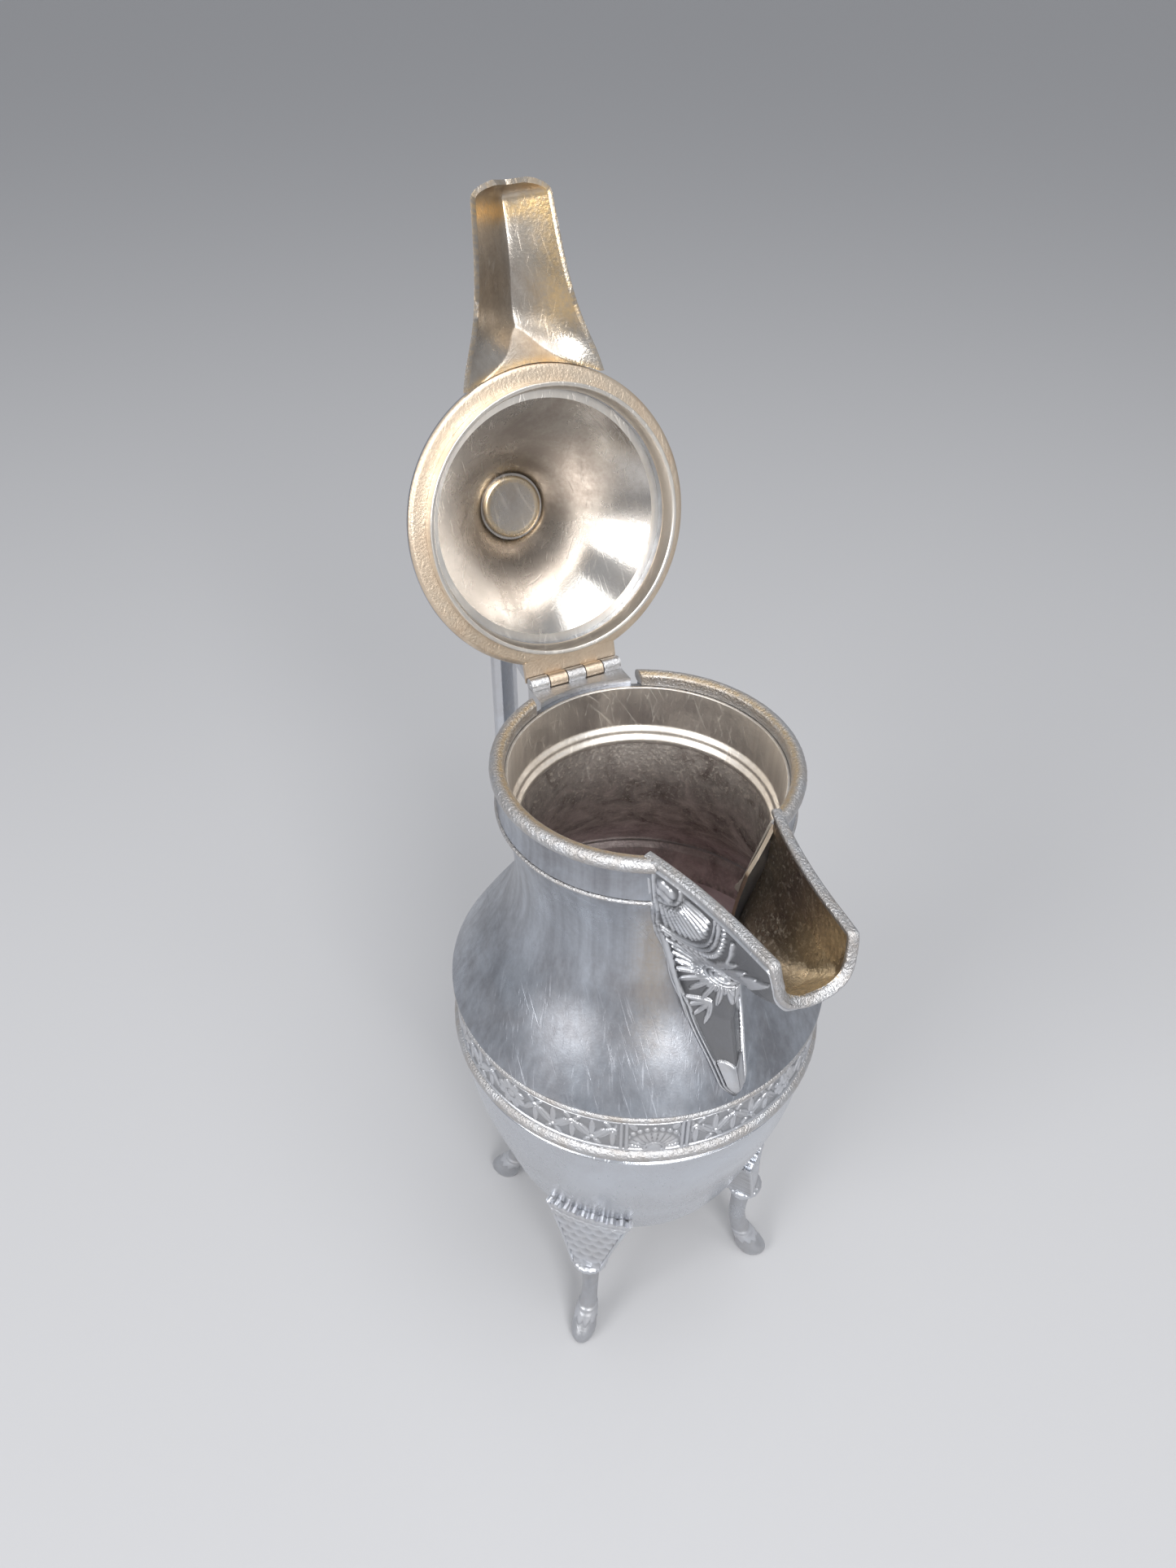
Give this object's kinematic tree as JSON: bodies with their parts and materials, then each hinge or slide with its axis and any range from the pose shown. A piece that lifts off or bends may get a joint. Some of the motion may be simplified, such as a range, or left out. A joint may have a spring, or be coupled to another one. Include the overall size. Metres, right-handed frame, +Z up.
{
  "type": "coffee pot",
  "caption": "Footed silver-plated coffee pot with a rounded body, ornamented frieze, broad cast spout, side handle and hinged domed lid thrown open.",
  "frame": {"origin": "on the pot's axis at floor level, in the middle of the four feet", "axes": "+Z up along the pot's axis, +X towards the spout, -X towards the handle and lid hinge, +Y to the pot's left"},
  "size_m": [0.181, 0.11, 0.3329],
  "materials": {
    "worn_silver": "worn, softly streaked silver plate",
    "cast_silver": "cast ornament, bright on the high places and dark in the hollows",
    "rim_silver": "granular, worn moulded wire",
    "polished_silver": "polished, slightly warm",
    "tarnished_silver": "brown tarnished plate"
  },
  "bodies": {
    "pot": {"bowl_shell": "worn_silver", "base_disc": "worn_silver", "neck_shell": "worn_silver", "neck_collar": "worn_silver", "frieze_band": "cast_silver", "spout_left": "cast_silver", "spout_right": "cast_silver", "foot_front_left": "cast_silver", "foot_front_right": "cast_silver", "foot_rear_left": "cast_silver", "foot_rear_right": "cast_silver", "handle_grip": "cast_silver", "handle_upper_socket": "cast_silver", "handle_lower_socket": "cast_silver", "upper_bead": "rim_silver", "lower_bead": "rim_silver", "collar_bead": "rim_silver", "rim_wire": "rim_silver", "lip_bead": "rim_silver", "mouth_collar": "polished_silver", "hinge_body_leaf": "rim_silver", "hinge_pin": "rim_silver"},
    "lid": {"lid_dome": "polished_silver", "lid_flange": "tarnished_silver", "lid_bezel": "polished_silver", "apex_plate": "polished_silver", "finial_base": "cast_silver", "finial_knob": "cast_silver", "finial_stud": "worn_silver", "spout_hood": "tarnished_silver", "hood_tip": "tarnished_silver", "hinge_lid_leaf": "tarnished_silver"}
  },
  "joints": [
    {"name": "lid_hinge", "type": "hinge", "parent": "pot", "child": "lid", "pos_m": [-0.0421, 0, 0.216], "axis": [0, -1, 0], "range_deg": [-105.4, 0]}
  ]
}
